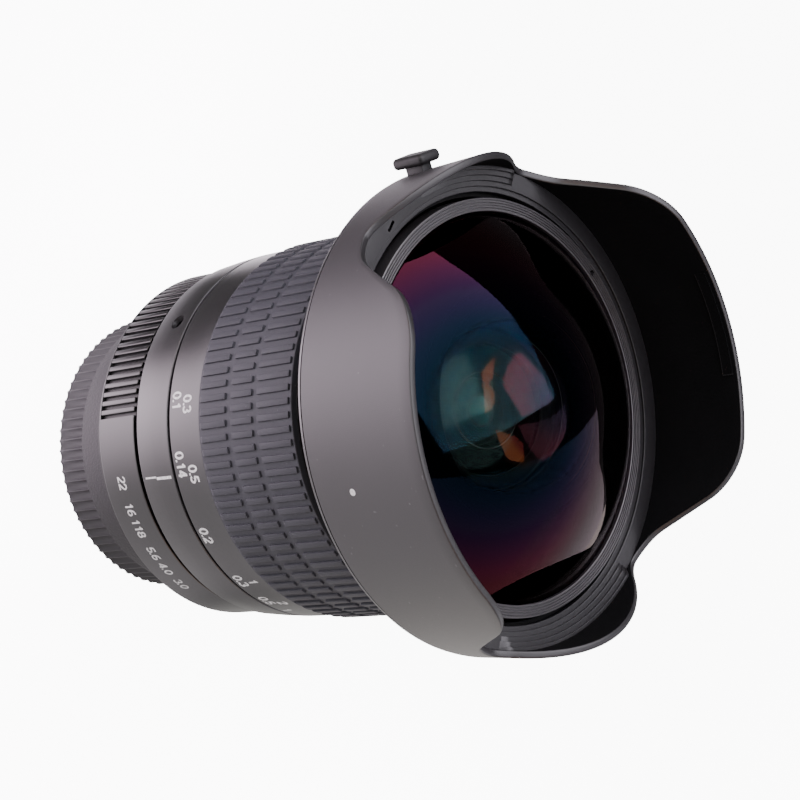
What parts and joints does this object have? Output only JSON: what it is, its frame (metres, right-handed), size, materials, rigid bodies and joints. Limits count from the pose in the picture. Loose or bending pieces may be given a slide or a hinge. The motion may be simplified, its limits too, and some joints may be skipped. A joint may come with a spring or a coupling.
{
  "type": "fisheye camera lens",
  "caption": "Manual fisheye lens with a domed front glass, removable petal hood, ribbed rubber focus ring, aperture ring and a ribbed rear cap over its bayonet.",
  "frame": {"origin": "centre of the rear cap's end face, on which the lens stands", "axes": "+Z along the optical axis towards the front glass, -Y towards the middle of the long petal with the white dot, -X towards the hood's lock button"},
  "size_m": [0.0887, 0.0868, 0.1078],
  "materials": {
    "black_metal": "satin black anodised",
    "bright_metal": "satin chrome",
    "steel": "plain",
    "brass": "turned",
    "grip_rubber": "matt moulded",
    "front_glass": "polished with a coloured coating",
    "inner_glass": "polished and coated",
    "hood_plastic": "fine satin black",
    "baffle_plastic": "matt black",
    "cap_plastic": "grained black"
  },
  "bodies": {
    "barrel": {"main_barrel": "black_metal", "front_collar": "black_metal", "bayonet_plate": "bright_metal", "bayonet_screws": "steel", "collar_screws": "steel", "index_set_screw": "steel", "guide_keys": "brass", "click_ball": "steel", "click_spring": "steel", "rear_baffle": "black_metal"},
    "focus_ring": {"focus_ring": "black_metal", "focus_grip": "grip_rubber", "helicoid_ring": "brass", "drive_screws": "steel"},
    "optic_block": {"optic_barrel": "black_metal", "front_cell": "black_metal", "front_element": "front_glass", "front_retainer": "black_metal", "inner_cell": "black_metal", "second_element": "inner_glass", "inner_retainer": "black_metal", "third_element": "inner_glass", "fourth_element": "inner_glass", "iris_base": "black_metal", "rear_cell": "black_metal", "fifth_element": "inner_glass", "rear_element": "inner_glass", "rear_retainer": "black_metal"},
    "iris_cam": {"iris_cam_ring": "black_metal"},
    "aperture_ring": {"aperture_ring": "black_metal", "aperture_lever": "steel"},
    "hood": {"hood_shell": "hood_plastic", "hood_baffle": "baffle_plastic", "lock_leaf_spring": "steel"},
    "lock_button": {"hood_lock_button": "hood_plastic"},
    "rear_cap": {"rear_cap": "cap_plastic"},
    "blade_1": {"iris_blade_1": "steel"},
    "blade_2": {"iris_blade_2": "steel"},
    "blade_3": {"iris_blade_3": "steel"},
    "blade_4": {"iris_blade_4": "steel"},
    "blade_5": {"iris_blade_5": "steel"},
    "blade_6": {"iris_blade_6": "steel"}
  },
  "joints": [
    {"name": "focus_turn", "type": "hinge", "parent": "barrel", "child": "focus_ring", "pos_m": [0, 0, 0.056], "axis": [0, 0, 1], "range_deg": [-70, 22]},
    {"name": "optic_slide", "type": "slide", "parent": "barrel", "child": "optic_block", "axis": [0, 0, 1], "range_m": [-0.000537, 0.000168]},
    {"name": "aperture_turn", "type": "hinge", "parent": "barrel", "child": "aperture_ring", "pos_m": [0, 0, 0.0236], "axis": [0, 0, 1], "range_deg": [-46, 0]},
    {"name": "iris_cam_turn", "type": "hinge", "parent": "optic_block", "child": "iris_cam", "pos_m": [0, 0, 0.038], "axis": [0, 0, 1], "range_deg": [-46, 0]},
    {"name": "blade_1_turn", "type": "hinge", "parent": "optic_block", "child": "blade_1", "pos_m": [0.011, 0, 0.036], "axis": [0, 0, 1], "range_deg": [-26.32, 0]},
    {"name": "blade_2_turn", "type": "hinge", "parent": "optic_block", "child": "blade_2", "pos_m": [0.0055, 0.00953, 0.036], "axis": [0, 0, 1], "range_deg": [-26.32, 0]},
    {"name": "blade_3_turn", "type": "hinge", "parent": "optic_block", "child": "blade_3", "pos_m": [-0.0055, 0.00953, 0.036], "axis": [0, 0, 1], "range_deg": [-26.32, 0]},
    {"name": "blade_4_turn", "type": "hinge", "parent": "optic_block", "child": "blade_4", "pos_m": [-0.011, 0, 0.036], "axis": [0, 0, 1], "range_deg": [-26.32, 0]},
    {"name": "blade_5_turn", "type": "hinge", "parent": "optic_block", "child": "blade_5", "pos_m": [-0.0055, -0.00953, 0.036], "axis": [0, 0, 1], "range_deg": [-26.32, 0]},
    {"name": "blade_6_turn", "type": "hinge", "parent": "optic_block", "child": "blade_6", "pos_m": [0.0055, -0.00953, 0.036], "axis": [0, 0, 1], "range_deg": [-26.32, 0]},
    {"name": "hood_pull", "type": "slide", "parent": "barrel", "child": "hood", "axis": [0, 0, 1], "range_m": [0, 0.03]},
    {"name": "lock_press", "type": "slide", "parent": "hood", "child": "lock_button", "axis": [1, 0, 0], "range_m": [0, 0.001], "stiffness_N_per_m": 600},
    {"name": "rear_cap_pull", "type": "slide", "parent": "barrel", "child": "rear_cap", "axis": [0, 0, -1], "range_m": [0, 0.03]}
  ],
  "couplings": [
    {"joint": "focus_turn", "follows": "optic_slide", "rad_per_m": 2272.7},
    {"joint": "iris_cam_turn", "follows": "aperture_turn", "ratio": 1},
    {"joint": "blade_1_turn", "follows": "aperture_turn", "ratio": 0.57115},
    {"joint": "blade_2_turn", "follows": "aperture_turn", "ratio": 0.57115},
    {"joint": "blade_3_turn", "follows": "aperture_turn", "ratio": 0.57115},
    {"joint": "blade_4_turn", "follows": "aperture_turn", "ratio": 0.57115},
    {"joint": "blade_5_turn", "follows": "aperture_turn", "ratio": 0.57115},
    {"joint": "blade_6_turn", "follows": "aperture_turn", "ratio": 0.57115}
  ]
}
